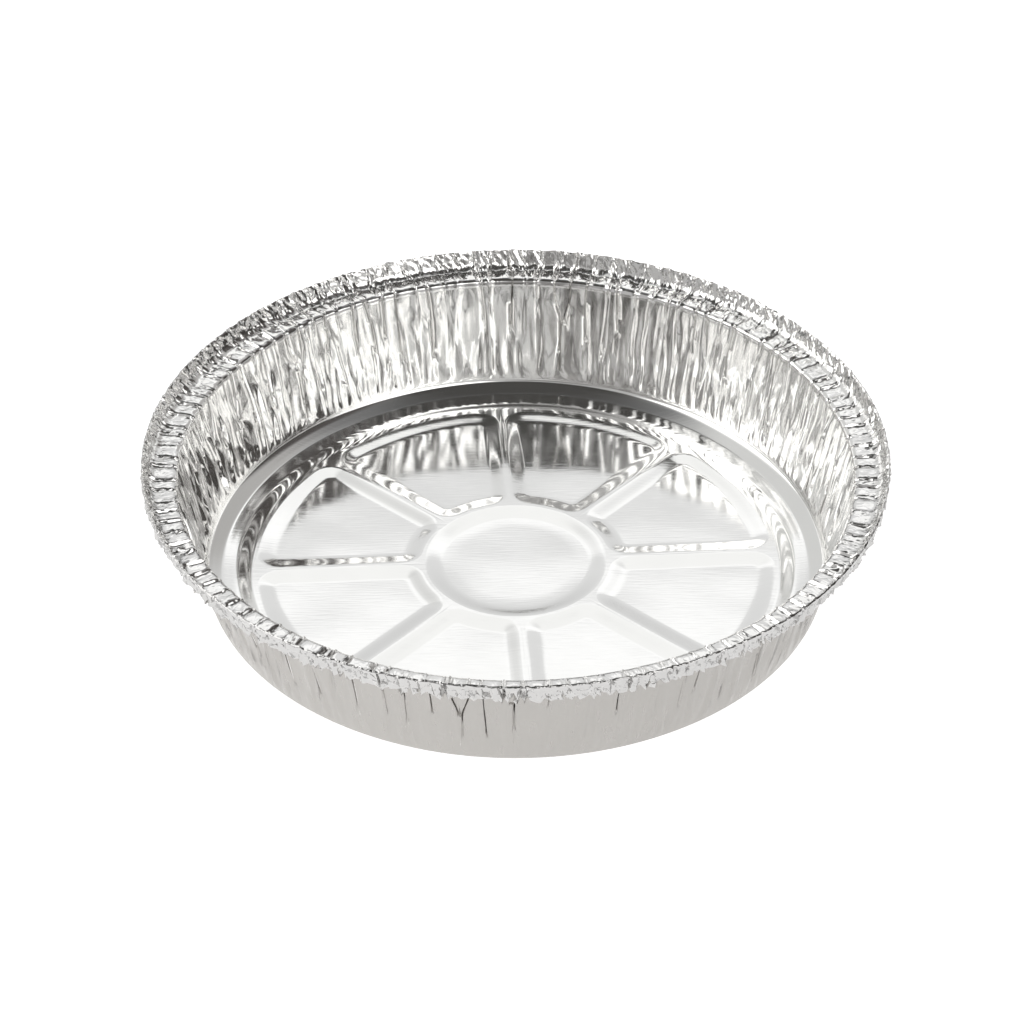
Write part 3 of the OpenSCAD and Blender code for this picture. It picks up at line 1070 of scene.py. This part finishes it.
@dataclass(frozen=True)
class Softbox:
    """A soft-edged round light, or a dark flag, in the room round the pan.

    Its middle is given by an azimuth, in degrees to the right of straight behind the pan, and an elevation.
    It is full out to one angle from its middle and gone at a second.
    """

    azimuth: float
    elevation: float
    full: float
    gone: float
    level: tuple[float, float, float]

    def towards(self) -> Vector:
        """The unit direction of its middle."""
        a, e = math.radians(self.azimuth), math.radians(self.elevation)
        return Vector((math.sin(a) * math.cos(e), math.cos(a) * math.cos(e), math.sin(e)))


@dataclass
class Studio:
    """A plain white floor, soft light from all round and the camera of the photograph.

    Lengths are in metres. Each value of the sky is the height of a direction and the room's level there.
    """

    focal_px: float = 3092.0
    distance: float = 1.0
    elevation: float = math.radians(37.67)
    eye_lift: float = 0.00008
    roll: float = math.radians(-0.18)
    target: tuple[float, float, float] = (-0.00118, 0.0, 0.02015)
    floor_rings: tuple[float, ...] = (0.15, 0.4, 1.0, 2.5, 6.0)
    floor_sides: int = 64
    floor_z: float = -0.00005
    sky: tuple[tuple[float, float], ...] = (
        (0.0, 0.03), (0.17, 0.20), (0.28, 0.68), (0.55, 0.80), (0.601, 0.80), (0.624, 1.17), (0.70, 1.15),
        (0.743, 0.84), (0.79, 0.52), (0.829, 0.37), (0.866, 0.28), (0.914, 0.19), (0.96, 0.11), (1.0, 0.07))
    boxes: tuple[Softbox, ...] = (
        Softbox(0, 54, 9, 16, (1.03, 1.03, 1.02)),
        Softbox(180, 26, 52, 78, (0.47, 0.465, 0.46)),
        Softbox(180, 0, 12, 25, (0.26, 0.255, 0.25)),
        Softbox(180, -4, 8, 16, (0.10, 0.095, 0.09)),
        Softbox(54, 31, 19, 31, (0.47, 0.46, 0.45)),
        Softbox(90, 23, 14, 28, (0.05, 0.046, 0.043)),
        Softbox(86, 44, 17, 28, (0.09, 0.083, 0.08)),
        Softbox(-50, 36, 19, 32, (0.70, 0.70, 0.69)),
        Softbox(180, 78, 18, 30, (0.07, 0.068, 0.065)),
        Softbox(45, 6, 10, 20, (0.90, 0.90, 0.89)),
        Softbox(-45, 6, 11, 20, (1.04, 1.03, 1.02)),
        Softbox(-90, 34, 22, 33, (1.80, 1.79, 1.77)),
        Softbox(142, 36, 17, 28, (1.75, 1.74, 1.72)),
        Softbox(122, 25, 7, 15, (1.40, 1.39, 1.37)),
        Softbox(-165, 24, 8, 20, (0.25, 0.245, 0.24)),
    )

    def camera(self) -> None:
        """Places the camera: its lens and place come from the outlines of the pan in the photograph."""
        data = bpy.data.cameras.new("photo_camera")
        data.sensor_width = SENSOR_MM
        data.lens = self.focal_px / IMAGE_PX * SENSOR_MM
        data.clip_start, data.clip_end = 0.01, 50.0
        height = self.distance * math.sin(self.elevation) + self.eye_lift
        place = Vector((0.0, -self.distance * math.cos(self.elevation), height))
        ahead = (Vector(self.target) - place).normalized()
        right = ahead.cross(Vector((0, 0, 1))).normalized()
        up = right.cross(ahead)
        c, s = math.cos(self.roll), math.sin(self.roll)
        x, y = c * right + s * up, c * up - s * right
        cam = bpy.data.objects.new("photo_camera", data)
        cam.matrix_world = Matrix.Translation(place) @ Matrix((x, y, -ahead)).transposed().to_4x4()
        bpy.context.scene.collection.objects.link(cam)
        bpy.context.scene.camera = cam

    def floor(self) -> None:
        """A round white floor, made of rings from its centre out, that glows enough to stay white."""
        r, a = np.array(self.floor_rings)[:, None], turns(self.floor_sides)
        level = np.full((len(r), len(a)), self.floor_z)
        ring = np.stack([r * np.cos(a), r * np.sin(a), level], axis=-1)
        skin = Skin()
        centre = skin.add(np.array([[0, 0, self.floor_z]]), np.zeros((1, 3)))
        ids = skin.add(ring, ring)
        skin.fan(int(centre[0]), ids[0], Finish.FLOOR)
        skin.bands(ids, Finish.FLOOR)
        points, _, faces, _ = skin.arrays()
        mesh = bpy.data.meshes.new("studio_floor")
        mesh.from_pydata(points.tolist(), [], faces.tolist())
        mesh.update()
        obj = bpy.data.objects.new("studio_floor", mesh)
        bpy.context.scene.collection.objects.link(obj)
        mesh.materials.append(self._paper())

    @staticmethod
    def _paper() -> bpy.types.Material:
        """The floor's white paper, whose own light isn't sampled as a lamp, to save time.

        Returns:
            The material.
        """
        mat = bpy.data.materials.new("white paper")
        mat.use_nodes = True
        mat.node_tree.nodes.clear()
        nodes = Nodes(mat.node_tree)
        noise = nodes.add("TexNoise", {"Scale": 40.0})
        gloss = nodes.add("MapRange", {"Value": noise.outputs["Fac"], "To Min": 0.8, "To Max": 0.95})
        shader = nodes.add("BsdfPrincipled", {
            "Base Color": (0.7, 0.7, 0.7, 1), "Roughness": gloss.outputs["Result"], "Specular IOR Level": 0.2,
            "Emission Color": (1, 1, 1, 1), "Emission Strength": 0.86})
        nodes.add("OutputMaterial", {"Surface": shader.outputs["BSDF"]})
        mat.cycles.emission_sampling = "NONE"
        return mat

    def light(self) -> None:
        """Soft light from the room: dark overhead, and softboxes and dark flags all round.

        The room's level is a ramp over the height of the direction, and each box takes its place in turn.
        """
        world = bpy.data.worlds.new("studio_room")
        bpy.context.scene.world = world
        world.use_nodes = True
        world.cycles.sampling_method = "NONE"
        world.node_tree.nodes.clear()
        nodes = Nodes(world.node_tree)
        where = nodes.add("TexCoord", {}).outputs["Generated"]
        apart = nodes.add("SeparateXYZ", {"Vector": where})
        ramp = nodes.add("ValToRGB", {"Fac": apart.outputs["Z"]})
        stops = ramp.color_ramp
        while len(stops.elements) < len(self.sky):
            stops.elements.new(0.5)
        for element, (height, level) in zip(stops.elements, self.sky):
            element.position, element.color = height, (level, level, level, 1.0)
        colour = ramp.outputs["Color"]
        for box in self.boxes:
            colour = nodes.add("Mix", {
                "Factor": self._share(nodes, where, box), "A": colour, "B": (*box.level, 1.0)},
                data_type="RGBA", clamp_result=False).outputs["Result"]
        room = nodes.add("Background", {"Color": colour})
        nodes.add("OutputWorld", {"Surface": room.outputs["Background"]})

    @staticmethod
    def _share(nodes: Nodes, where: bpy.types.NodeSocket, box: Softbox) -> bpy.types.NodeSocket:
        """How much of a direction is the box's: 1 in its middle, 0 outside it, and eased between its angles.

        Args:
            nodes: The room's tree.
            where: The direction's socket.
            box: The light or flag.

        Returns:
            The share's socket.
        """
        dot = nodes.add("VectorMath", {0: where, 1: box.towards()}, operation="DOT_PRODUCT")
        gone, full = math.cos(math.radians(box.gone)), math.cos(math.radians(box.full))
        return nodes.add("MapRange", {"Value": dot.outputs["Value"], "From Min": gone, "From Max": full},
                         interpolation_type="SMOOTHSTEP").outputs["Result"]

    def build(self) -> None:
        """Sets up floor, light and camera, with colours shown as they are."""
        self.floor()
        self.light()
        self.camera()
        view = bpy.context.scene.view_settings
        view.view_transform = "Standard"
        view.look = "None"


def main() -> None:
    """Builds the studio and the pan."""
    logging.basicConfig(level=logging.INFO, format="%(name)s: %(message)s")
    Studio().build()
    sheet = FoilPan().build()
    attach(sheet, "root")
    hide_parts("foil_pan")
    log.info("%s: %d points, %d triangles", sheet.name, len(sheet.data.vertices), len(sheet.data.polygons))


if __name__ == "__main__":
    main()
